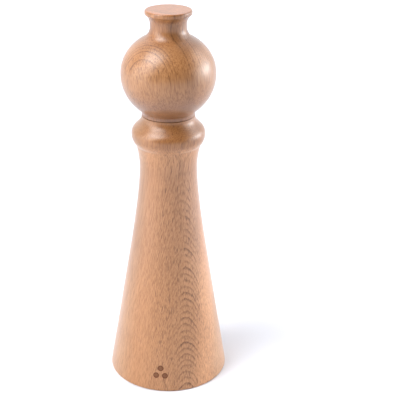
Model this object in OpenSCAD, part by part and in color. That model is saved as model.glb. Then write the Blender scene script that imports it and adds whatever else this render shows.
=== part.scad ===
// Turned beech pepper mill, 22 cm tall, with a conical ceramic grinder set in its base.
// Turning the head grinds, lifting the head off opens the chamber, and the dial under
// the base raises or lowers the grinding cone. All sizes are in millimetres. The axis of
// the mill is Z, it stands on Z = 0 and its front faces -Y.

/* [Turned outline] */
// Height of the whole mill
total_h = 220; // [214:1:226]
// Radius of the foot
foot_r = 35; // [34:0.5:36]
// Radius of the waist under the collar
waist_r = 16.35; // [16.2:0.05:17]
// Largest radius of the collar
collar_r = 20.75; // [20.5:0.05:21.5]
// Radius of the joint between body and head
seam_r = 15; // [14.6:0.1:15.4]
// Largest radius of the ball
ball_r = 26.35; // [25.5:0.05:27]
// Radius of the neck above the ball
neck_r = 10.05; // [9.5:0.05:10.5]
// Radius of the button on top
button_r = 12.95; // [12.5:0.05:13.5]

/* [Pepper chamber] */
// Radius of the chamber bored down the body
chamber_r = 11; // [10.5:0.1:11.2]
// Radial play between the head's tenon and the chamber
tenon_play = 0.3; // [0.2:0.05:0.5]
// Gap that shows between body and head
seam_gap = 0.25; // [0.15:0.05:0.4]
// Length of the tenon under the head's shoulder
tenon_h = 12; // [10:0.5:14]

/* [Grinder] */
// Radius of the moulded flange in the base
flange_r = 26.1; // [25.5:0.1:26.5]
// Outside radius of the grinder housing
housing_r = 18.9; // [18.7:0.1:19.2]
// Largest radius of the grinding cone
cone_r = 13.2; // [13:0.05:13.4]
// Gap between cone and ring as set at rest
grind_gap = 0.55; // [0.5:0.05:0.6]
// Lift of the adjusting thread in one turn
thread_pitch = 1.5; // [1:0.25:1.5]
// Width across the flats of the square shaft
shaft_w = 5; // [4.8:0.1:5]

/* [Hidden] */
$fn = 96;

beech = [0.80, 0.60, 0.44];
moulding = [0.13, 0.13, 0.14];
acetal = [0.86, 0.86, 0.83];
ceramic = [0.94, 0.93, 0.90];
steel = [0.70, 0.71, 0.73];
alloy = [0.80, 0.81, 0.83];

eps = 0.5;              // overshoot of a cutter past the face that it opens
play = 0.1;             // running play between pieces that turn or slide on each other

// Heights of the turned outline
edge_r = 1;
cone_end_z = 75;
cone_end_r = foot_r - 12.05;
waist_z = 129.8;
crease_z = 143.7;
crease_r = waist_r + 1.95;
collar_z = 150.1;
seam_z = 161;
shoulder_z = seam_z + seam_gap;
ball_z = 184.7;
ball_low_h = 25.6;
ball_top_h = 23.45;
ball_end_a = 59;
neck_top_z = total_h - 7.7;
lip_h = 2.5;

// Heights of the grinder, from the table up
flange_z = 2.6;
flange_t = 2.5;
recess_h = flange_z + 2 * flange_t;
housing_top = 36.6;
spider_t = 2.2;
counterbore_top = housing_top + spider_t + 0.6;
funnel_top = 50;
bridge_z = 7;
bridge_t = 3.6;
bridge_in_r = 15.2;
hub_r = 8.2;
journal_r = 4.6;
stator_z = 18.8;
stator_r = housing_r - 2.2;
stator_top = 33.1;
cone_z = 20;
cone_top = 33;
cone_top_r = 8.4;
cone_slope = (cone_r - cone_top_r) / (cone_top - cone_z);
cone_a = atan(cone_slope);
fine_top = 25;
screw_ring_r = 22.6;
screw_r = 1.3;
screw_angles = [30, 150, 270];

// Heights of the drive line
driver_z = 19.45;
driver_r = 6.3;
driver_play = 0.05;
spring_seat_z = 28.5;
spring_r = 4.35;
spring_wire_r = 0.35;
bush_z = 36.4;
bush_h = 5;
bush_in_r = shaft_w / sqrt(2) + 0.12;
bush_out_r = 4.8;
clip_t = 0.6;
clip_r = 4.9;
shaft_z = 22.3;
shaft_top = 165;
socket_w = shaft_w + 0.3;
tenon_r = chamber_r - tenon_play;
tenon_z = shoulder_z - tenon_h;
socket_t = 1.6;
socket_r = 5.7;
socket_top = tenon_z + 20;
socket_screw_y = 7.8;
socket_screw_r = 1.1;

// Adjusting dial and lifter
dial_r = 9.6;
dial_z = 1.4;
dial_top = bridge_z - 0.2;
stem_r = 3.45;
lifter_z = 13.2;
lifter_t = 2;
ball_bearing_r = 2;
seat_play = 0.04;
thrust_z = driver_z - 0.05 - ball_bearing_r;
detent_y = 6.45;

// Points of an elliptical arc from angle a to angle b, without its first point
function arc(c, r, a, b, n) =
    [for (i = [1:n]) let (t = a + (b - a) * i / n) [c[0] + r[0] * cos(t), c[1] + r[1] * sin(t)]];

// Points of a cubic curve from p to s with handles q and r, without its first point
function curve(p, q, r, s, n) =
    [for (i = [1:n]) let (t = i / n, u = 1 - t)
        u * u * u * p + 3 * u * u * t * q + 3 * u * t * t * r + t * t * t * s];

// Outer outline of the body, from the foot up to the seam
function body_outline() =
    let (rise = crease_z - waist_z,
         out = crease_r - waist_r,
         flare = (rise * rise + out * out) / (2 * out),
         drop = collar_z - crease_z,
         swell = collar_r - crease_r,
         bead = (drop * drop + swell * swell) / (2 * swell))
    concat(
        [[foot_r - edge_r, 0]],
        arc([foot_r - edge_r, edge_r], [edge_r, edge_r], -90, 0, 4),
        [[cone_end_r, cone_end_z]],
        curve([cone_end_r, cone_end_z], [waist_r + 1.65, 105], [waist_r, 121.8],
              [waist_r, waist_z], 14),
        arc([waist_r + flare, waist_z], [flare, flare], 180, 180 - asin(rise / flare), 6),
        arc([collar_r - bead, collar_z], [bead, bead], -asin(drop / bead), 0, 8),
        curve([collar_r, collar_z], [collar_r, collar_z + 5.4], [seam_r, seam_z - 5.4],
              [seam_r, seam_z - 0.2], 16),
        [[seam_r - 0.2, seam_z]]
    );

// Outer outline of the head, from its shoulder up to the middle of the button
function head_outline() =
    let (cove_z = shoulder_z + 3.3,
         low_a = -asin((ball_z - cove_z) / ball_low_h),
         low_r = ball_r * cos(low_a),
         end = [ball_r * cos(ball_end_a), ball_z + ball_top_h * sin(ball_end_a)],
         lean = atan2(ball_r * sin(ball_end_a), ball_top_h * cos(ball_end_a)),
         fillet = (end[0] - neck_r) / (1 - cos(lean)),
         flare = 6.75,
         flare_a = 50,
         lip_z = neck_top_z + flare * sin(flare_a))
    concat(
        [[seam_r - 0.2, shoulder_z]],
        [[seam_r, shoulder_z + 0.2]],
        curve([seam_r, shoulder_z + 0.2], [seam_r - 0.2, shoulder_z + 1.8],
              [seam_r + 0.3, cove_z - 1.2], [low_r, cove_z], 6),
        arc([0, ball_z], [ball_r, ball_low_h], low_a, 0, 22),
        arc([0, ball_z], [ball_r, ball_top_h], 0, ball_end_a, 18),
        arc([neck_r + fillet, end[1] + fillet * sin(lean)], [fillet, fillet],
            180 + lean, 180, 8),
        [[neck_r, neck_top_z]],
        arc([neck_r + flare, neck_top_z], [flare, flare], 180, 180 - flare_a, 8),
        arc([button_r - 0.6, lip_z + 0.6], [0.6, 0.6], -60, 0, 3),
        [[button_r, total_h - 1]],
        arc([button_r - 0.85, total_h - 1], [0.85, 1], 0, 90, 6),
        [[0, total_h]]
    );

// A hole or plug on the axis between two heights
module core(z0, z1, r) {
    translate([0, 0, z0])
        cylinder(h = z1 - z0, r = r);
}

// A ring on the axis between two heights
module ring(z0, z1, inner, outer) {
    difference() {
        core(z0, z1, outer);
        core(z0 - eps, z1 + eps, inner);
    }
}

// A square bar on the axis between two heights
module square_bar(z0, z1, w) {
    translate([-w / 2, -w / 2, z0])
        cube([w, w, z1 - z0]);
}

// A block across the axis between two heights, from radius r0 to r1 along +X
module spoke(z0, z1, r0, r1, w) {
    translate([r0, -w / 2, z0])
        cube([r1 - r0, w, z1 - z0]);
}

// A ring of equal copies of the children
module around(count, start = 0) {
    for (i = [0:count - 1])
        rotate([0, 0, start + i * 360 / count])
            children();
}

// A countersunk wood screw on its own axis, head down, with a crossed recess
module wood_screw(z0, head_r, shank_r, length) {
    sink = head_r - shank_r;
    difference() {
        union() {
            translate([0, 0, z0])
                cylinder(h = sink, r1 = head_r, r2 = shank_r);
            core(z0, z0 + length - 2 * shank_r, shank_r);
            translate([0, 0, z0 + length - 2 * shank_r])
                cylinder(h = 2 * shank_r, r1 = shank_r, r2 = shank_r / 5);
        }
        for (turn = [0, 90])
            rotate([0, 0, turn])
                translate([-head_r * 0.6, -0.3, z0 - eps])
                    cube([head_r * 1.2, 0.6, eps + sink * 0.75]);
    }
}

// The clearance for a countersunk screw through a plate
module screw_hole(z0, head_r, hole_r, length) {
    translate([0, 0, z0])
        cylinder(h = head_r - hole_r, r1 = head_r, r2 = hole_r);
    core(z0 - eps, z0 + length, hole_r);
}

// A round wire wound into a coil between two heights
module coil(z0, z1, r, wire_r, turns, steps = 20, sides = 6) {
    count = turns * steps;
    climb = z1 - z0 - 2 * wire_r;
    points = [for (i = [0:count], j = [0:sides - 1])
        let (a = 360 * i / steps, b = 360 * j / sides, d = r + wire_r * cos(b))
        [d * cos(a), d * sin(a), z0 + wire_r + climb * i / count + wire_r * sin(b)]];
    skin = [for (i = [0:count - 1], j = [0:sides - 1])
        let (k = (j + 1) % sides)
        [i * sides + j, i * sides + k, (i + 1) * sides + k, (i + 1) * sides + j]];
    ends = [[for (j = [sides - 1:-1:0]) j], [for (j = [0:sides - 1]) count * sides + j]];
    polyhedron(points = points, faces = concat(skin, ends), convexity = 10);
}

// Slanted V-shaped grooves cut in a conical face that leans inward by the angle lean
module grooves(count, r, z, lean, twist, w, length) {
    around(count)
        translate([r, 0, z])
            rotate([0, -lean, 0])
                rotate([twist, 0, 0])
                    rotate([0, 0, 45])
                        cube([w, w, length], center = true);
}

// Body of the mill, turned and bored from one block
module mill_body() {
    color(beech)
        difference() {
            rotate_extrude()
                polygon(concat(body_outline(), [[0, seam_z], [0, 0]]));
            core(-eps, recess_h, flange_r + 0.4);
            core(recess_h - eps, counterbore_top, housing_r + 0.3);
            translate([0, 0, counterbore_top - 0.01])
                cylinder(h = funnel_top - counterbore_top, r1 = bridge_in_r, r2 = chamber_r);
            core(funnel_top - 1, seam_z + eps, chamber_r);
            for (a = screw_angles)
                rotate([0, 0, a])
                    translate([screw_ring_r, 0, 0])
                        core(recess_h - eps, 17.6, screw_r);
        }
}

// Moulded cup that holds the ceramic ring, with its flange against the wood
module grinder_housing() {
    color(moulding)
        difference() {
            union() {
                core(flange_z + flange_t, recess_h, flange_r);
                core(recess_h - 0.5, housing_top, housing_r);
            }
            core(flange_z, stator_top + play, stator_r + play);
            translate([0, 0, stator_top])
                cylinder(h = housing_top - stator_top + eps, r1 = 13.8, r2 = 15.4);
            for (a = screw_angles)
                rotate([0, 0, a])
                    translate([screw_ring_r, 0, 0])
                        core(flange_z, recess_h + eps, screw_r + 0.3);
        }
    color(moulding)
        around(3, 90)
            spoke(stator_z + 1, stator_top + play, stator_r - 0.7, stator_r + 0.4, 2.4);
}

// Lower carrier: clamps the ring from below, bears the dial and guides the lifter
module bottom_bridge() {
    hub_top = bridge_z + bridge_t;
    color(moulding)
        difference() {
            union() {
                ring(flange_z, flange_z + flange_t, bridge_in_r, flange_r);
                ring(flange_z, stator_z, bridge_in_r, stator_r);
                core(bridge_z, hub_top, hub_r);
                around(4)
                    spoke(bridge_z, hub_top, hub_r - 1, bridge_in_r + 0.5, 4.4);
                for (side = [0, 180])
                    rotate([0, 0, side])
                        spoke(bridge_z, 17, 9.4, 13.2, 8);
            }
            core(bridge_z - eps, hub_top + eps, journal_r + play);
            for (side = [0, 180])
                rotate([0, 0, side])
                    spoke(hub_top, 17 + eps, 9, 13.6, 4.2);
            translate([0, -detent_y, 0])
                core(bridge_z - eps, hub_top - 0.6, 1.1);
            for (a = screw_angles)
                rotate([0, 0, a])
                    translate([screw_ring_r, 0, 0])
                        screw_hole(flange_z, 2.8, screw_r + 0.3, flange_t + eps);
        }
    // Grind marks: raised dots that grow from fine to coarse
    color(moulding)
        for (i = [0:5])
            rotate([0, 0, -132 + i * 17])
                translate([19.5, 0, 0])
                    core(flange_z - 0.4, flange_z + 0.2, 0.45 + i * 0.13);
}

// Three countersunk screws that hold both flanges to the wood
module flange_screws() {
    color(steel)
        for (a = screw_angles)
            rotate([0, 0, a])
                translate([screw_ring_r, 0, 0])
                    wood_screw(flange_z, 2.5, screw_r, 15);
}

// Fixed ceramic ring with teeth inside: a feed funnel above a fine grinding band
module stator_ring() {
    low_r = cone_r + grind_gap + cone_slope * (cone_z - stator_z);
    throat_r = cone_r + grind_gap - cone_slope * (fine_top - cone_z);
    mouth_r = 13.6;
    mouth_a = atan((throat_r - mouth_r) / (stator_top - fine_top));
    color(ceramic)
        difference() {
            core(stator_z, stator_top, stator_r);
            translate([0, 0, stator_z - 0.01])
                cylinder(h = fine_top - stator_z + 0.02, r1 = low_r, r2 = throat_r);
            translate([0, 0, fine_top])
                cylinder(h = stator_top - fine_top + 0.01, r1 = throat_r, r2 = mouth_r);
            grooves(30, (low_r + throat_r) / 2, (stator_z + fine_top) / 2, cone_a, 14, 0.8, 9);
            grooves(9, (throat_r + mouth_r) / 2, (fine_top + stator_top) / 2 + 1.5,
                    mouth_a, 22, 2.2, 10);
            around(3, 90)
                spoke(stator_z - eps, stator_top + eps, stator_r - 0.8, stator_r + 1, 2.6);
        }
}

// Three-armed carrier over the grinder that centres the shaft
module shaft_spider() {
    color(moulding)
        difference() {
            union() {
                ring(housing_top, housing_top + spider_t, bridge_in_r, housing_r);
                core(housing_top, housing_top + 4.4, 6.2);
                around(3, 30)
                    spoke(housing_top, housing_top + spider_t, 5.5, bridge_in_r + 1, 3);
            }
            core(housing_top - eps, housing_top + 4.4 + eps, bush_out_r);
        }
}

// Plain bearing for the shaft
module spider_bush() {
    color(acetal)
        difference() {
            core(bush_z, bush_z + bush_h, bush_out_r);
            core(bush_z - eps, bush_z + bush_h + eps, bush_in_r);
        }
}

// Ball of the dial's click stop, held here at the top of its travel
module detent_ball() {
    color(steel)
        translate([0, -detent_y, dial_top + 1.1])
            sphere(r = 1);
}

// Spring that presses the click ball down on the dial
module detent_spring() {
    color(steel)
        translate([0, -detent_y, 0])
            coil(dial_top + 2.1, bridge_z + bridge_t - 0.6, 0.7, 0.14, 3, 12);
}

// Square bar from the grinding cone up into the head, grooved for its two clips
module drive_shaft() {
    color(alloy)
        difference() {
            union() {
                square_bar(shaft_z, shaft_top - 1, shaft_w);
                intersection() {
                    square_bar(shaft_top - 1, shaft_top, shaft_w);
                    translate([0, 0, shaft_top - 1])
                        cylinder(h = 1, r1 = shaft_w / 2 + 1, r2 = shaft_w / 2);
                }
            }
            for (z = clip_heights())
                ring(z - 0.05, z + clip_t + 0.05, shaft_w / 2 - 0.3, shaft_w);
        }
}

// Heights of the undersides of the shaft's two clips
function clip_heights() = [bush_z - 0.2 - clip_t, bush_z + bush_h + 0.2];

// Retaining clips under and over the bush
module shaft_clips() {
    color(steel)
        for (z = clip_heights())
            difference() {
                ring(z, z + clip_t, shaft_w / 2 - 0.3, clip_r);
                spoke(z - eps, z + clip_t + eps, 0, clip_r + 1, 2.4);
            }
}

// Head: ball, neck and button turned in one piece, with a tenon below its shoulder
module mill_head() {
    color(beech)
        difference() {
            rotate_extrude()
                polygon(concat(
                    head_outline(),
                    [[0, tenon_z], [tenon_r - 0.6, tenon_z], [tenon_r, tenon_z + 0.6]],
                    [[tenon_r, shoulder_z]]
                ));
            core(tenon_z - eps, socket_top + 0.5, socket_r + 0.05);
            for (side = [-1, 1])
                translate([0, side * socket_screw_y, 0])
                    core(tenon_z - eps, tenon_z + 10, socket_screw_r);
        }
}

// Moulded socket under the head that takes the square shaft
module drive_socket() {
    color(moulding)
        difference() {
            union() {
                core(tenon_z - socket_t, tenon_z, tenon_r - 0.9);
                core(tenon_z - 0.5, socket_top, socket_r);
            }
            square_bar(tenon_z - socket_t - eps, socket_top - 2, socket_w);
            translate([0, 0, tenon_z - socket_t - 0.01])
                cylinder(h = 1.2, r1 = 5.1, r2 = 3.6);
            spoke(tenon_z + 2, tenon_z + 15, 0, socket_r + 1, 3.6);
            for (side = [-1, 1])
                translate([0, side * socket_screw_y, 0])
                    screw_hole(tenon_z - socket_t, 1.9, socket_screw_r + 0.15, socket_t + eps);
        }
}

// Bowed leaf spring in the socket's slot that keeps the head from lifting by itself
module grip_spring() {
    bow = [
        [5.0, 2.4], [5.4, 2.4], [5.4, 4.4], [3.05, 7.4], [3.05, 9.6], [5.4, 12.6],
        [5.4, 14.6], [5.0, 14.6], [5.0, 12.7], [2.68, 9.8], [2.68, 7.2], [5.0, 4.3]
    ];
    color(steel)
        translate([0, 1.5, tenon_z])
            rotate([90, 0, 0])
                linear_extrude(height = 3)
                    polygon(bow);
}

// Two screws that hold the socket to the tenon
module socket_screws() {
    color(steel)
        for (side = [-1, 1])
            translate([0, side * socket_screw_y, 0])
                wood_screw(tenon_z - socket_t, 1.75, socket_screw_r, 11);
}

// Adjusting dial: a scalloped knob with an inside thread, turned from under the base
module adjusting_dial() {
    clip_z = bridge_z + bridge_t + 0.15;
    color(moulding)
        difference() {
            union() {
                core(dial_z, dial_top, dial_r);
                core(dial_top - 0.5, clip_z + clip_t + 0.45, journal_r);
                translate([-dial_r + 1.6, -1, dial_z - 0.6])
                    cube([2 * dial_r - 3.2, 2, 1]);
            }
            core(dial_z + 1.2, clip_z + 3, stem_r + play);
            around(12, 15)
                translate([dial_r + 0.5, 0, 0])
                    core(dial_z - eps, dial_top + eps, 1.3);
            ring(clip_z - 0.05, clip_z + clip_t + 0.05, journal_r - 0.5, journal_r + 1);
            around(12)
                translate([0, -detent_y, dial_top + 1.1])
                    sphere(r = 1.35);
        }
}

// Clip that holds the dial up against the bridge
module dial_clip() {
    clip_z = bridge_z + bridge_t + 0.15;
    color(steel)
        difference() {
            ring(clip_z, clip_z + clip_t, journal_r - 0.5, 6.2);
            spoke(clip_z - eps, clip_z + clip_t + eps, 0, 7, 2.6);
        }
}

// Threaded follower that the dial raises; its two tabs keep it from turning
module lifter() {
    boss_top = thrust_z - 0.2;
    color(acetal)
        difference() {
            union() {
                core(dial_z + 2.2, lifter_z + 0.5, stem_r);
                core(lifter_z, lifter_z + lifter_t, 7.4);
                spoke(lifter_z, lifter_z + lifter_t, -12.6, 12.6, 4);
                core(lifter_z + 0.5, boss_top, 3.6);
            }
            translate([0, 0, thrust_z + seat_play])
                sphere(r = ball_bearing_r + seat_play);
        }
}

// Ball that carries the thrust of the turning cone
module thrust_ball() {
    color(steel)
        translate([0, 0, thrust_z])
            sphere(r = ball_bearing_r);
}

// Turning ceramic cone with coarse feed teeth above fine grinding teeth
module grinding_cone() {
    fine_mid = (cone_z + fine_top) / 2 - 0.4;
    coarse_mid = (fine_top + cone_top) / 2 + 1.2;
    color(ceramic)
        difference() {
            translate([0, 0, cone_z])
                cylinder(h = cone_top - cone_z, r1 = cone_r, r2 = cone_top_r);
            core(cone_z - eps, cone_top + eps, driver_r + driver_play);
            around(4, 45)
                spoke(cone_z - eps, cone_top + eps, 0, driver_r + 0.95, 2.1);
            grooves(30, cone_r - cone_slope * (fine_mid - cone_z), fine_mid,
                    cone_a, -14, 0.8, 6);
            grooves(9, cone_r - cone_slope * (coarse_mid - cone_z), coarse_mid,
                    cone_a, -22, 1.7, 10);
        }
}

// Moulded core of the cone: square socket for the shaft and a well for the spring
module cone_driver() {
    color(moulding)
        difference() {
            union() {
                core(driver_z, cone_top, driver_r);
                core(driver_z, cone_z, 8.6);
                around(4, 45)
                    spoke(cone_z - 0.2, cone_top, 4, driver_r + 0.85, 2);
            }
            square_bar(21.4, spring_seat_z + eps, shaft_w + 0.25);
            core(spring_seat_z, cone_top + eps, 5.05);
            core(driver_z - eps, driver_z + 0.8, 3.4);
        }
}

// Hardened disc in the driver that runs on the thrust ball
module thrust_pad() {
    color(steel)
        core(driver_z, driver_z + 0.8, 3.4);
}

// Slanted vanes on top of the cone that break and feed the peppercorns
module feed_vanes() {
    color(moulding)
        difference() {
            union() {
                core(cone_top, cone_top + 2.2, 6.8);
                around(3)
                    translate([0, 0, cone_top + 1.1])
                        rotate([18, 0, 0])
                            spoke(-1, 1, 5.5, 10.4, 1.6);
            }
            core(cone_top - eps, cone_top + 2.2 + eps, 5.3);
            core(cone_top - 2, cone_top, 11);
        }
}

// Spring between the shaft's lower clip and the cone that keeps the cone on its ball
module cone_spring() {
    color(steel)
        coil(spring_seat_z, clip_heights()[0], spring_r, spring_wire_r, 4);
}

mill_body();
grinder_housing();
bottom_bridge();
flange_screws();
stator_ring();
shaft_spider();
spider_bush();
detent_ball();
detent_spring();
drive_shaft();
shaft_clips();
mill_head();
drive_socket();
grip_spring();
socket_screws();
adjusting_dial();
dial_clip();
lifter();
thrust_ball();
grinding_cone();
cone_driver();
thrust_pad();
feed_vanes();
cone_spring();
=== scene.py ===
"""Looks of the pepper mill: turned beech, moulded and ceramic grinder parts, and the studio."""

import math

import bpy
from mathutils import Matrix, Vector


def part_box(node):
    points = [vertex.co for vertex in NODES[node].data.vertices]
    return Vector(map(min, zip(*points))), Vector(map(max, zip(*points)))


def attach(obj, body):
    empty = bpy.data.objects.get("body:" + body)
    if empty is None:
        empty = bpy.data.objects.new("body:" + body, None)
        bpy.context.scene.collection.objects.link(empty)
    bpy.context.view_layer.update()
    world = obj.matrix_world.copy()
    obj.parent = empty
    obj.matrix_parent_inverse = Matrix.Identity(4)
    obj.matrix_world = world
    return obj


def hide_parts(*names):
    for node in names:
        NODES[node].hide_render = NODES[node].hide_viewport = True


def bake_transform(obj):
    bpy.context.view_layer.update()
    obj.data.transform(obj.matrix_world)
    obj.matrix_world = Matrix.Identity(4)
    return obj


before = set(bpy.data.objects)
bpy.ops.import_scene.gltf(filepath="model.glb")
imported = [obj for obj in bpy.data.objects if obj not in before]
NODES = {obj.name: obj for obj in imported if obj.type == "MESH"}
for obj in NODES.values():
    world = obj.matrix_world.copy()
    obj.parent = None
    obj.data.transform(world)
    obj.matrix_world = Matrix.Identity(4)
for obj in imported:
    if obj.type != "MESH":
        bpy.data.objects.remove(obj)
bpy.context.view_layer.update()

MM = 0.001


# ---------------------------------------------------------------- sizes in mm, from the frame

def low(node):
    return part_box(node)[0] / MM


def high(node):
    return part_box(node)[1] / MM


TOTAL_H = high("mill_head").z
FOOT_R = high("mill_body").x
BALL_R = high("mill_head").x
SEAM_Z = high("mill_body").z
TENON_Z = low("mill_head").z
FLANGE_R = high("grinder_housing").x
HOUSING_R = high("shaft_spider").x
SOCKET_TOP = high("drive_socket").z

FLANGE_T = 2.5
SPIDER_T = 2.2
TENON_H = 12
RECESS_H = low("grinder_housing").z + FLANGE_T
SPIDER_TOP = low("shaft_spider").z + SPIDER_T
SHOULDER_Z = TENON_Z + TENON_H

# places on the turned outlines, as (radius, height)
CONE_TAPER = 12.05
CONE_TOP = (FOOT_R - CONE_TAPER, 75)
WAIST = (16.35, 129.8)
CREASE = (18.3, 143.7)
COLLAR = (20.75, 150.1)

SEAM_R = 15.0
CHAMBER_R = 11.0
FUNNEL_R = 15.2
FUNNEL_TOP = 50
BALL_Z = 184.7
NECK_R = 10.05
BUTTON_R = 12.95


# ---------------------------------------------------------------- the turned outlines

def arc(centre, radii, start, end, steps):
    """Points of an elliptical arc between two angles in degrees, without the first."""
    points = []
    for i in range(1, steps + 1):
        a = math.radians(start + (end - start) * i / steps)
        points.append((centre[0] + radii[0] * math.cos(a), centre[1] + radii[1] * math.sin(a)))
    return points


def curve(p, q, r, s, steps):
    """Points of a cubic curve from p to s with handles q and r, without the first."""
    points = []
    for i in range(1, steps + 1):
        t = i / steps
        w = ((1 - t) ** 3, 3 * (1 - t) ** 2 * t, 3 * (1 - t) * t * t, t ** 3)
        points.append(tuple(sum(k * v[a] for k, v in zip(w, (p, q, r, s))) for a in (0, 1)))
    return points


def line(p, s, steps):
    """Evenly spaced points from p to s, without the first."""
    return [
        (p[0] + (s[0] - p[0]) * i / steps, p[1] + (s[1] - p[1]) * i / steps)
        for i in range(1, steps + 1)
    ]


def body_outer():
    """The body's outside: foot, cone, waist, crease and collar, up to the seam."""
    foot_edge, seam_edge = 1, 0.2
    collar_handle = 5.4
    rise = CREASE[1] - WAIST[1]
    out = CREASE[0] - WAIST[0]
    flare = (rise ** 2 + out ** 2) / (2 * out)
    drop = COLLAR[1] - CREASE[1]
    swell = COLLAR[0] - CREASE[0]
    bead = (drop ** 2 + swell ** 2) / (2 * swell)
    crease_a = math.degrees(math.asin(drop / bead))
    return (
        [(FOOT_R - foot_edge, 0)]
        + arc((FOOT_R - foot_edge, foot_edge), (foot_edge, foot_edge), -90, 0, 8)
        + line((FOOT_R, foot_edge), CONE_TOP, 60)
        + curve(CONE_TOP, (WAIST[0] + 1.65, 105), (WAIST[0], 121.8), WAIST, 48)
        + arc((WAIST[0] + flare, WAIST[1]), (flare, flare),
              180, 180 - math.degrees(math.asin(rise / flare)), 14)
        + arc((COLLAR[0] - bead, COLLAR[1]), (bead, bead), -crease_a, 0, 14)
        + curve(COLLAR, (COLLAR[0], COLLAR[1] + collar_handle),
                (SEAM_R, SEAM_Z - collar_handle), (SEAM_R, SEAM_Z - seam_edge), 28)
        + arc((SEAM_R - seam_edge, SEAM_Z - seam_edge), (seam_edge, seam_edge), 0, 90, 4)
    )


def body_inner():
    """The body's bores from the seam down: chamber, funnel, housing bore and flange recess."""
    mouth_edge, recess_edge = 0.3, 0.4
    housing_bore_r = HOUSING_R + 0.3
    recess_r = FLANGE_R + 0.4
    counterbore_top = SPIDER_TOP + 0.6
    return (
        arc((CHAMBER_R + mouth_edge, SEAM_Z - mouth_edge), (mouth_edge, mouth_edge), 90, 180, 3)
        + line((CHAMBER_R, SEAM_Z - mouth_edge), (CHAMBER_R, FUNNEL_TOP), 24)
        + [(FUNNEL_R, counterbore_top), (housing_bore_r, counterbore_top)]
        + [(housing_bore_r, RECESS_H), (recess_r, RECESS_H), (recess_r, recess_edge)]
        + [(recess_r + recess_edge, 0)]
    )


def head_outer():
    """The head's outside: shoulder, cove, ball, neck and button, up to its middle."""
    shoulder_edge, lip_edge = 0.2, 0.6
    low_h, top_h, end_a = 25.6, 23.45, 59
    cove_z = SHOULDER_Z + 3.3
    low_a = -math.degrees(math.asin((BALL_Z - cove_z) / low_h))
    low_r = BALL_R * math.cos(math.radians(low_a))
    end_r = BALL_R * math.cos(math.radians(end_a))
    end_z = BALL_Z + top_h * math.sin(math.radians(end_a))
    lean = math.atan2(BALL_R * math.sin(math.radians(end_a)),
                      top_h * math.cos(math.radians(end_a)))
    fillet = (end_r - NECK_R) / (1 - math.cos(lean))
    fillet_z = end_z + fillet * math.sin(lean)
    neck_top, flare, flare_a = TOTAL_H - 7.7, 6.75, 50
    lip_z = neck_top + flare * math.sin(math.radians(flare_a))
    rim_w, rim_h = 0.85, 1
    return (
        arc((SEAM_R - shoulder_edge, SHOULDER_Z + shoulder_edge),
            (shoulder_edge, shoulder_edge), -90, 0, 4)
        + curve((SEAM_R, SHOULDER_Z + shoulder_edge), (SEAM_R - 0.2, SHOULDER_Z + 1.8),
                (SEAM_R + 0.3, cove_z - 1.2), (low_r, cove_z), 10)
        + arc((0, BALL_Z), (BALL_R, low_h), low_a, 0, 44)
        + arc((0, BALL_Z), (BALL_R, top_h), 0, end_a, 40)
        + arc((NECK_R + fillet, fillet_z), (fillet, fillet), 180 + math.degrees(lean), 180, 16)
        + [(NECK_R, neck_top)]
        + arc((NECK_R + flare, neck_top), (flare, flare), 180, 180 - flare_a, 16)
        + arc((BUTTON_R - lip_edge, lip_z + lip_edge), (lip_edge, lip_edge), -60, 0, 5)
        + [(BUTTON_R, TOTAL_H - rim_h)]
        + arc((BUTTON_R - rim_w, TOTAL_H - rim_h), (rim_w, rim_h), 0, 90, 10)
        + line((BUTTON_R - rim_w, TOTAL_H), (0, TOTAL_H), 8)
    )


def head_inner():
    """The socket bore, the tenon and the shoulder under the head."""
    bore_r, bore_top = 5.75, SOCKET_TOP + 0.5
    tenon_r, tenon_edge = CHAMBER_R - 0.3, 0.6
    corner = 0.1
    return [
        (0, bore_top),
        (bore_r, bore_top),
        (bore_r, TENON_Z),
        (tenon_r - tenon_edge, TENON_Z),
        (tenon_r, TENON_Z + tenon_edge),
        (tenon_r, SHOULDER_Z - corner),
        (tenon_r + corner, SHOULDER_Z),
    ]


# ---------------------------------------------------------------- meshes

def solid(name, verts, faces):
    """A smooth-shaded object whose edges over 35 degrees stay sharp."""
    mesh = bpy.data.meshes.new(name)
    mesh.from_pydata(verts, [], faces)
    mesh.validate()
    mesh.polygons.foreach_set("use_smooth", [True] * len(mesh.polygons))
    mesh.set_sharp_from_angle(angle=math.radians(35))
    piece = bpy.data.objects.new(name, mesh)
    bpy.context.scene.collection.objects.link(piece)
    return piece


def lathe(name, outline, segments=256):
    """A closed solid of revolution round Z. An outline that keeps off the axis joins up end to
    end, and a point on the axis becomes a single vertex."""
    on_axis = 1e-6
    verts, faces, rings = [], [], []
    for r, z in outline:
        if r < on_axis:
            rings.append([len(verts)] * segments)
            verts.append((0, 0, z * MM))
            continue
        rings.append(list(range(len(verts), len(verts) + segments)))
        for k in range(segments):
            a = 2 * math.pi * k / segments
            verts.append((r * MM * math.cos(a), r * MM * math.sin(a), z * MM))
    joins_up = outline[0][0] > on_axis and outline[-1][0] > on_axis
    for i in range(len(rings) if joins_up else len(rings) - 1):
        a, b = rings[i], rings[(i + 1) % len(rings)]
        for k in range(segments):
            n = (k + 1) % segments
            corners = [a[k], a[n], b[n], b[k]]
            faces.append(list(dict.fromkeys(corners)))
    return solid(name, verts, faces)


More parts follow.
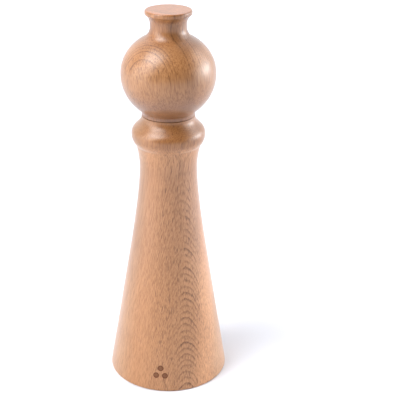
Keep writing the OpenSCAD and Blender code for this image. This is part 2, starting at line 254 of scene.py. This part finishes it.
def spring_wire(name, turns=5, wire_r=0.35, steps=36, sides=12):
    """A round wire coiled in the CAD spring's place, with its end turns wound closer."""
    bottom, top = low("cone_spring").z + wire_r, high("cone_spring").z - wire_r
    coil_r = high("cone_spring").x - wire_r
    closing = 0.45
    verts, faces = [], []
    for i in range(turns * steps + 1):
        a = 2 * math.pi * i / steps
        share = i / (turns * steps)
        bend = 2 * math.pi * share
        z = bottom + (top - bottom) * (share - closing * math.sin(bend) / (2 * math.pi))
        climb = (top - bottom) * (1 - closing * math.cos(bend)) / (2 * math.pi * turns)
        outward = Vector((math.cos(a), math.sin(a), 0))
        along = Vector((-coil_r * math.sin(a), coil_r * math.cos(a), climb)).normalized()
        up = outward.cross(along)
        centre = outward * coil_r + Vector((0, 0, z))
        for j in range(sides):
            b = 2 * math.pi * j / sides
            verts.append((centre + (outward * math.cos(b) + up * math.sin(b)) * wire_r) * MM)
    last = turns * steps * sides
    for i in range(turns * steps):
        for j in range(sides):
            k = (j + 1) % sides
            faces.append((i * sides + j, (i + 1) * sides + j, (i + 1) * sides + k, i * sides + k))
    faces += [tuple(range(sides)), tuple(range(last + sides - 1, last - 1, -1))]
    return solid(name, verts, faces)


# ---------------------------------------------------------------- material helper

class Shader:
    """A node material built by short calls. Every argument is a socket or a plain value."""

    def __init__(self, name):
        self.material = bpy.data.materials.new(name)
        self.material.use_nodes = True
        self.tree = self.material.node_tree
        self.tree.nodes.clear()
        self.surface = self.tree.nodes.new("ShaderNodeBsdfPrincipled")
        out = self.tree.nodes.new("ShaderNodeOutputMaterial")
        self.tree.links.new(self.surface.outputs[0], out.inputs["Surface"])

    def put(self, socket, value):
        if isinstance(value, bpy.types.NodeSocket):
            self.tree.links.new(value, socket)
        elif value is not None:
            socket.default_value = value

    def set(self, **values):
        """Sets the surface's own sockets: base_color, roughness, normal and so on."""
        for key, value in values.items():
            self.put(self.surface.inputs[key.replace("_", " ").title().replace("Ior", "IOR")],
                     value)

    def point(self):
        """Object position in mm."""
        coord = self.tree.nodes.new("ShaderNodeTexCoord").outputs["Object"]
        return self.vector("SCALE", coord, scale=1 / MM)

    def vector(self, operation, a, b=None, scale=None):
        node = self.tree.nodes.new("ShaderNodeVectorMath")
        node.operation = operation
        self.put(node.inputs[0], a)
        if scale is None:
            self.put(node.inputs[1], b)
        else:
            self.put(node.inputs["Scale"], scale)
        return node.outputs["Value" if operation in ("DOT_PRODUCT", "DISTANCE") else 0]

    def math(self, operation, a, b=None, c=None):
        node = self.tree.nodes.new("ShaderNodeMath")
        node.operation = operation
        for i, value in enumerate((a, b, c)):
            self.put(node.inputs[i], value)
        return node.outputs[0]

    def times(self, a, b):
        return self.math("MULTIPLY", a, b)

    def length(self, a, b):
        """Length of the flat vector (a, b)."""
        return self.math("SQRT", self.math("MULTIPLY_ADD", a, a, self.times(b, b)))

    def combine(self, x, y, z):
        node = self.tree.nodes.new("ShaderNodeCombineXYZ")
        for i, value in enumerate((x, y, z)):
            self.put(node.inputs[i], value)
        return node.outputs[0]

    def separate(self, vector):
        node = self.tree.nodes.new("ShaderNodeSeparateXYZ")
        self.put(node.inputs[0], vector)
        return node.outputs

    def ramp(self, value, low_in, high_in, low_out=0.0, high_out=1.0):
        """Smooth step of value from low_in..high_in to low_out..high_out."""
        node = self.tree.nodes.new("ShaderNodeMapRange")
        node.interpolation_type = "SMOOTHSTEP"
        for i, v in enumerate((value, low_in, high_in, low_out, high_out)):
            self.put(node.inputs[i], v)
        return node.outputs[0]

    def noise(self, vector, scale=1.0, detail=2.0, roughness=0.5):
        node = self.tree.nodes.new("ShaderNodeTexNoise")
        self.put(node.inputs["Vector"], vector)
        self.put(node.inputs["Scale"], scale)
        self.put(node.inputs["Detail"], detail)
        self.put(node.inputs["Roughness"], roughness)
        return node.outputs[0]

    def cells(self, vector):
        """Distance to the nearest scattered point, and a random value for that point."""
        node = self.tree.nodes.new("ShaderNodeTexVoronoi")
        self.put(node.inputs["Vector"], vector)
        self.put(node.inputs["Scale"], 1.0)
        return node.outputs["Distance"], self.separate(node.outputs["Color"])[0]

    def random(self, value):
        node = self.tree.nodes.new("ShaderNodeTexWhiteNoise")
        node.noise_dimensions = "1D"
        self.put(node.inputs["W"], value)
        return node.outputs["Value"]

    def mix(self, share, a, b, blend="MIX"):
        node = self.tree.nodes.new("ShaderNodeMix")
        node.data_type = "RGBA"
        node.blend_type = blend
        self.put(node.inputs["Factor"], share)
        for key, value in (("A", a), ("B", b)):
            socket = [s for s in node.inputs if s.name == key and s.type == "RGBA"][0]
            self.put(socket, (*value, 1.0) if isinstance(value, tuple) else value)
        return [s for s in node.outputs if s.type == "RGBA"][0]

    def bump(self, height, distance, strength=1.0):
        node = self.tree.nodes.new("ShaderNodeBump")
        node.inputs["Distance"].default_value = distance
        node.inputs["Strength"].default_value = strength
        self.put(node.inputs["Height"], height)
        return node.outputs[0]


# ---------------------------------------------------------------- beech

def direction(azimuth, elevation=0):
    """Unit vector seen from the mill: azimuth from the front towards +X, in degrees."""
    a, e = math.radians(azimuth), math.radians(elevation)
    return Vector((math.sin(a) * math.cos(e), -math.cos(a) * math.cos(e), math.sin(e)))


class Beech(Shader):
    """Lacquered beech, cut from a trunk whose pith runs in front of the piece.

    pith is the pith's (azimuth, distance), and lean is how far the fibres tilt (sideways,
    forward). The growth rings are (width, phase, first year) and wave by waver. strip, from 0 to
    1, is how far they stand out in a strip up the side that faces the pith, and between the two
    heights in fade they rise from faint to full. late_share and ray_share are how dark the rings
    and the rays get. Lengths are in mm and angles in degrees."""

    RELIEF = 0.00003  # depth of the grain, in metres

    def __init__(self, name, pith, lean, zero_z, rings, waver, strip, fade,
                 late_share, ray_share, light, dark):
        super().__init__(name)
        self.strip = strip
        self.place(pith[0], lean, zero_z, seed=rings[2] % 97)

        # fibres run along the trunk: fine hairs, wider streaks and slow clouds of colour
        self.ripple = self.noise(self.stretched(0.9, 0.14), 1.0, 3.0, 0.6)
        self.hair = self.noise(self.stretched(2.0, 0.07), 1.0, 3.0, 0.6)
        streak = self.noise(self.stretched(1.3, 0.045), 1.0, 4.0, 0.65)
        cloud = self.noise(self.stretched(0.05, 0.014), 1.0, 3.0)
        flat = self.flat_strip()
        late = self.late_wood(pith[1], rings, waver, flat, fade)
        ray = self.rays(ray_share)

        self.color = self.mix(self.ramp(cloud, 0.3, 0.7), light, dark)
        self.tint(self.ramp(streak, 0.35, 0.72, 0.0, 0.8), (0.76, 0.69, 0.61))
        self.tint(self.ramp(self.hair, 0.46, 0.66, 0.0, 0.85 - 0.3 * strip), (0.62, 0.52, 0.41))
        self.tint(flat, (1.04, 1.05, 1.06))
        self.tint(self.times(late, late_share), (0.40, 0.29, 0.21))
        self.tint(ray, (0.27, 0.17, 0.10))
        self.height = self.math("SUBTRACT", self.times(self.hair, 0.5), self.times(ray, 0.7))
        self.set(roughness=self.ramp(streak, 0.2, 0.8, 0.42, 0.52),
                 normal=self.bump(self.height, self.RELIEF, 0.5), specular_ior_level=0.25,
                 coat_weight=1.0, coat_roughness=0.32, coat_ior=1.5)

    def place(self, azimuth, lean, zero_z, seed):
        """Measures from the axis at zero_z: u towards the pith, v to the right and w along the
        fibres. facing goes from 1 on the side that faces the pith to -1 on the far side."""
        sideways, forward = (math.tan(math.radians(a)) for a in lean)
        fibre = Vector((0, 0, 1)) + direction(azimuth + 90) * sideways
        fibre = (fibre + direction(azimuth) * forward).normalized()
        across = fibre.cross(direction(azimuth)).normalized()
        outward = across.cross(fibre)
        point = self.vector("SUBTRACT", self.point(), (0, 0, zero_z))
        self.u = self.vector("DOT_PRODUCT", point, tuple(outward))
        self.v = self.vector("DOT_PRODUCT", point, tuple(across))
        self.w = self.vector("DOT_PRODUCT", point, tuple(fibre))
        self.u_seed = self.math("ADD", self.u, seed)
        x, y, _ = self.separate(point)
        ahead = self.vector("DOT_PRODUCT", point, tuple(direction(azimuth + 0.5 * lean[0])))
        self.facing = self.math("DIVIDE", ahead, self.length(x, y))

    def stretched(self, across_scale, along_scale):
        """Position squeezed along the fibre, for noise that runs with it."""
        return self.combine(self.times(self.u_seed, across_scale),
                            self.times(self.v, across_scale),
                            self.times(self.w, along_scale))

    def flat_strip(self):
        """The strip, with ragged edges, where the rings lie flat in the surface."""
        off_middle = self.math("SUBTRACT", self.v, 2.0)
        edge = self.math("ABSOLUTE", self.math("MULTIPLY_ADD", self.ripple, 4.0, off_middle))
        return self.times(self.ramp(edge, 6.5, 4.5),
                          self.ramp(self.facing, 0.88, 0.95, 0.0, self.strip))

    def late_wood(self, pith_distance, rings, waver, flat, fade):
        """The dark end of each ring. The slightly wavy distance from the pith gives the year,
        and each year has a strength of its own."""
        width, phase, first_year = rings
        sway = self.noise(self.stretched(0.06, 0.016), 1.0, 2.0)
        depth = self.length(self.math("SUBTRACT", self.u, pith_distance), self.v)
        depth = self.math("MULTIPLY_ADD", sway, 3.0 * waver, depth)
        self.depth = self.math("MULTIPLY_ADD", self.ripple, waver, depth)
        years = self.math("MULTIPLY_ADD", self.depth, 1 / width, phase)
        part = self.math("FRACT", years)
        year = self.math("ADD", self.math("FLOOR", years), first_year)
        late = self.times(self.ramp(part, 0.42, 0.86), self.ramp(part, 1.0, 0.92))
        for share in (
            self.ramp(self.random(year), 0.1, 0.9, 0.1 + 0.4 * self.strip, 1.0),
            self.ramp(self.hair, 0.3, 0.6, 0.3, 1.0),
            self.ramp(flat, 0.0, 1.0, 1.0 - 0.65 * self.strip, 1.0),
            self.ramp(self.w, fade[0], fade[1], 0.2, 1.0),
        ):
            late = self.times(late, share)
        return late

    def rays(self, ray_share):
        """Rays seen end on: short dark dashes between the fibres, in three sizes."""
        wander = self.noise(self.stretched(0.5, 0.35), 1.0, 1.0)
        wander = self.math("MULTIPLY_ADD", wander, 0.8, self.v)
        ray = None
        for across_scale, along_scale, share in (
            (1.1, 0.12, 0.75),
            (1.6, 0.18, 0.75),
            (2.4, 0.30, 0.6),
        ):
            away, pick = self.cells(self.combine(self.times(self.u_seed, 0.45 * across_scale),
                                                 self.times(wander, across_scale),
                                                 self.times(self.w, along_scale)))
            dash = self.times(self.ramp(away, 0.34, 0.14),
                              self.times(self.ramp(pick, 0.1, 0.85), share))
            ray = dash if ray is None else self.math("MAXIMUM", ray, dash)
        end_on = self.ramp(self.math("ABSOLUTE", self.facing), 0.65, 0.92, 0.15, ray_share)
        ray = self.times(ray, end_on)
        return self.times(ray, self.ramp(self.v, 6.0, 12.0, 1.0, 0.6))

    def tint(self, amount, tone):
        """Multiplies the wood's colour by a tone where amount is 1."""
        self.color = self.mix(amount, self.color, self.mix(1.0, self.color, tone, "MULTIPLY"))
        self.set(base_color=self.color)

    def burnt_dots(self, middle_azimuth, middle_z, spacing, radius):
        """Three small peppercorns burnt into the front of the foot, a plain maker's touch."""
        soft_edge = 0.25
        point = self.point()
        mask = None
        for across, up in ((-0.5, -0.29), (0.5, -0.29), (0.0, 0.58)):
            z = middle_z + up * spacing
            r = FOOT_R - CONE_TAPER * z / CONE_TOP[1]
            a = math.radians(middle_azimuth) + across * spacing / r
            away = self.vector("DISTANCE", point, (r * math.sin(a), -r * math.cos(a), z))
            dot = self.times(self.ramp(away, radius, radius - soft_edge),
                             self.ramp(away, radius * 0.45, radius * 0.75, 0.8, 1.0))
            mask = dot if mask is None else self.math("MAXIMUM", mask, dot)
        self.color = self.mix(self.times(mask, 0.95), self.color, (0.13, 0.035, 0.010))
        self.height = self.math("SUBTRACT", self.height, self.times(mask, 4.0))
        self.set(base_color=self.color, normal=self.bump(self.height, self.RELIEF, 0.6),
                 coat_weight=self.math("MULTIPLY_ADD", mask, -0.8, 1.0))


def body_wood():
    """The body's beech, whose rings show as arches up a strip right of the front, with painted
    light on its right side, a painted reflection on its right edge and painted shade on its left
    side, upper part and collar.
    """
    s = Beech("beech_body", pith=(17.5, 62), lean=(5.7, 4), zero_z=0, rings=(0.88, 0.0, 11),
              waver=0.5, strip=1.0, fade=(-2, -1), late_share=1.0, ray_share=1.0,
              light=(0.555, 0.27, 0.115), dark=(0.49, 0.227, 0.089))
    height = s.separate(s.point())[2]
    # painted light: the right side is tinted lighter and cooler where the right-hand lamps fall
    right_side_painted_light = s.times(s.ramp(s.v, 2.0, 9.0), s.ramp(s.facing, -0.2, 0.3))
    # painted shade: the left side is tinted darker and cooler
    left_edge_painted_shade = s.times(s.ramp(s.v, 0.0, -20.0), s.ramp(s.facing, 0.6, 0.2))
    # painted reflection: the far right edge is tinted cooler, for the white surround's gloss at a
    # grazing angle
    right_edge_painted_reflection = s.ramp(s.v, 14.0, 22.0)
    # painted shade: the upper body under the ball is tinted darker
    upper_part_painted_shade = s.times(s.ramp(height, 45, 100), s.ramp(height, 142, 130))
    # painted shade: the collar under the ball's overhang is tinted darker and browner
    collar = s.ramp(height, CREASE[1] + 1, CREASE[1] + 5)
    s.tint(right_side_painted_light, (1.26, 1.29, 1.35))
    s.tint(left_edge_painted_shade, (0.87, 0.93, 1.0))
    s.tint(right_edge_painted_reflection, (0.87, 0.95, 1.05))
    s.tint(upper_part_painted_shade, (0.84, 0.83, 0.87))
    s.tint(collar, (0.73, 0.66, 0.53))
    s.burnt_dots(middle_azimuth=-8, middle_z=11.5, spacing=5.2, radius=1.9)
    return s.material


def head_wood():
    """The head's beech, whose wider rings show as arcs left of the ball's front, with painted
    shade on the neck, below the crown and under the ball, and painted light on the button's top.
    """
    s = Beech("beech_head", pith=(-31.5, 54.3), lean=(-6.8, 0), zero_z=BALL_Z,
              rings=(1.7, 0.53, 15735), waver=0.3, strip=0.0, fade=(-2, 14),
              late_share=0.75, ray_share=0.9,
              light=(0.475, 0.224, 0.086), dark=(0.418, 0.184, 0.066))
    height = s.separate(s.point())[2]
    dark_years = s.times(s.ramp(s.depth, 41, 46), s.ramp(s.depth, 53, 49))
    # the neck's darker years, with painted shade over the neck's front and right side under the
    # lip
    neck_years_and_painted_shade = s.times(s.ramp(s.depth, 46, 48), s.ramp(height, BALL_Z + 12, BALL_Z + 20))
    # painted shade: everything below the ball's crown is tinted a little darker
    below_crown_painted_shade = s.ramp(height, BALL_Z + 14, BALL_Z + 2)
    # painted shade: the underside of the ball is tinted darker
    lower_ball_painted_shade = s.ramp(height, BALL_Z, BALL_Z - 17)
    # the button's end-grain top, painted lighter and warmer as if lit from above
    end_grain_painted_light = s.ramp(height, TOTAL_H - 0.3, TOTAL_H - 0.05)
    s.tint(dark_years, (0.88, 0.86, 0.84))
    s.tint(neck_years_and_painted_shade, (0.72, 0.69, 0.65))
    s.tint(below_crown_painted_shade, (0.90, 0.91, 0.94))
    s.tint(lower_ball_painted_shade, (0.74, 0.69, 0.74))
    s.tint(end_grain_painted_light, (1.42, 1.12, 0.65))
    return s.material


# ---------------------------------------------------------------- grinder materials

def plain(name, color, roughness, metallic=0.0):
    """Moulded, ceramic or metal surface with a fine grain and slight variation."""
    relief = 0.00001
    s = Shader(name)
    point = s.point()
    grain = s.noise(point, 9.0, 3.0, 0.6)
    patch = s.noise(point, 0.25, 3.0, 0.5)
    shade = tuple(c * 0.82 for c in color)
    s.set(base_color=s.mix(s.ramp(patch, 0.3, 0.7), color, shade),
          roughness=s.ramp(patch, 0.3, 0.7, roughness * 0.85, min(1.0, roughness * 1.15)),
          metallic=metallic, normal=s.bump(grain, relief, 0.6))
    return s.material


def dress(material, *nodes):
    """Gives CAD nodes a material, and smooth shading with edges over 28 degrees sharp."""
    for node in nodes:
        mesh = NODES[node].data
        mesh.materials.clear()
        mesh.materials.append(material)
        mesh.polygons.foreach_set("use_smooth", [True] * len(mesh.polygons))
        mesh.set_sharp_from_angle(angle=math.radians(28))


# ---------------------------------------------------------------- the studio

def white_surround():
    """White all round for the camera. As a light it only comes from behind the mill."""
    world = bpy.data.worlds.new("world")
    world.use_nodes = True
    tree = world.node_tree
    sky = tree.nodes["Background"]
    sky.inputs["Color"].default_value = (0.95, 0.97, 1.0, 1.0)
    coord = tree.nodes.new("ShaderNodeTexCoord")
    split = tree.nodes.new("ShaderNodeSeparateXYZ")
    tree.links.new(coord.outputs["Generated"], split.inputs[0])
    fade = tree.nodes.new("ShaderNodeMapRange")
    fade.interpolation_type = "SMOOTHSTEP"
    for socket, value in (("From Min", -0.1), ("From Max", 0.7), ("To Max", 1.45)):
        fade.inputs[socket].default_value = value
    tree.links.new(split.outputs["Y"], fade.inputs["Value"])
    path = tree.nodes.new("ShaderNodeLightPath")
    seen = tree.nodes.new("ShaderNodeMath")
    seen.operation = "MAXIMUM"
    tree.links.new(path.outputs["Is Camera Ray"], seen.inputs[0])
    tree.links.new(fade.outputs["Result"], seen.inputs[1])
    tree.links.new(seen.outputs[0], sky.inputs["Strength"])
    return world


def soft_box(name, place, target, size, power):
    """A rectangular lamp that points at target and that the camera doesn't see."""
    lamp = bpy.data.lights.new(name, "AREA")
    lamp.shape = "RECTANGLE"
    lamp.size, lamp.size_y = size
    lamp.energy = power
    holder = bpy.data.objects.new(name, lamp)
    holder.location = place
    holder.rotation_euler = (target - place).to_track_quat("-Z", "Y").to_euler()
    holder.visible_camera = False
    bpy.context.scene.collection.objects.link(holder)


def light_mill(height):
    """Soft boxes on both sides, all at one distance from the mill's middle."""
    distance = 1.3
    middle = Vector((0, 0, 0.5 * height))
    for name, azimuth, elevation, size, power in (
        ("left_box", -61, 38, (0.8, 0.8), 10.0),
        ("left_high", -60, 60, (0.8, 0.6), 12.0),
        ("left_low", -75, 12, (1.1, 0.6), 6.7),
        ("right_box", 105, 25, (0.8, 1.0), 7.3),
        ("right_rear", 105, 8, (0.6, 0.36), 5.5),
        ("right_low", 85, 12, (0.8, 0.6), 5.2),
    ):
        soft_box(name, middle + distance * direction(azimuth, elevation), middle, size, power)


def place_camera(height):
    """The camera stands in front of the mill and looks down on it."""
    look_down = 24.14
    camera = bpy.data.cameras.new("camera")
    camera.sensor_width = 36
    camera.lens = 92.6
    camera.shift_x = 0.079
    holder = bpy.data.objects.new("camera", camera)
    holder.location = (0, -2.471 * height, 1.6 * height)
    holder.rotation_euler = (math.radians(90 - look_down), 0, 0)
    bpy.context.scene.collection.objects.link(holder)
    bpy.context.scene.camera = holder


def lay_floor():
    """A pale floor. Its glow rises from glow_start to glow_full, in mm from the mill, so that it
    turns white around the shadow."""
    half = 6
    glow_start, glow_full = 300, 1300
    mesh = bpy.data.meshes.new("floor")
    corners = [(-half, -half, 0), (half, -half, 0), (half, half, 0), (-half, half, 0)]
    mesh.from_pydata(corners, [], [(0, 1, 2, 3)])
    floor = bpy.data.objects.new("floor", mesh)
    bpy.context.scene.collection.objects.link(floor)
    white = Shader("floor_white")
    away = white.vector("DISTANCE", white.point(), (0, 0, 0))
    white.set(base_color=(0.84, 0.86, 0.92, 1), roughness=0.7, specular_ior_level=0.2,
              emission_color=(0.97, 0.97, 1.0, 1.0),
              emission_strength=white.ramp(away, glow_start, glow_full, 0.0, 0.6))
    mesh.materials.append(white.material)


def studio():
    scene = bpy.context.scene
    scene.view_settings.view_transform = "Standard"
    scene.view_settings.look = "None"
    height = TOTAL_H * MM
    place_camera(height)
    scene.world = white_surround()
    light_mill(height)
    lay_floor()


# ---------------------------------------------------------------- assembly

def make_wood():
    body = lathe("turned_body", body_outer() + body_inner())
    head = lathe("turned_head", head_inner() + head_outer())
    for piece, material, rides, node, slot in (
        (body, body_wood(), "body", "mill_body", "beech_body"),
        (head, head_wood(), "head", "mill_head", "beech_head"),
    ):
        piece.data.materials.append(material)
        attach(piece, rides)
        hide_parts(node)


def make_spring(steel):
    """The cone's spring, whose top sits under the shaft's clip."""
    spring = spring_wire("coiled_spring")
    spring.data.materials.append(steel)
    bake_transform(spring)
    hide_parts("cone_spring")


def make_grinder():
    dress(plain("black_moulding", (0.022, 0.022, 0.024), 0.45),
          "grinder_housing", "bottom_bridge", "shaft_spider", "drive_socket",
          "adjusting_dial", "cone_driver", "feed_vanes")
    dress(plain("acetal", (0.76, 0.76, 0.71), 0.35), "spider_bush", "lifter")
    dress(plain("white_ceramic", (0.84, 0.82, 0.76), 0.5), "stator_ring", "grinding_cone")
    steel = plain("bright_steel", (0.60, 0.61, 0.63), 0.28, 1.0)
    dress(steel, "flange_screws", "detent_ball", "detent_spring", "shaft_clips", "grip_spring",
          "socket_screws", "dial_clip", "thrust_ball", "thrust_pad")
    dress(plain("drawn_aluminium", (0.78, 0.79, 0.81), 0.36, 1.0), "drive_shaft")
    make_spring(steel)


studio()
make_wood()
make_grinder()
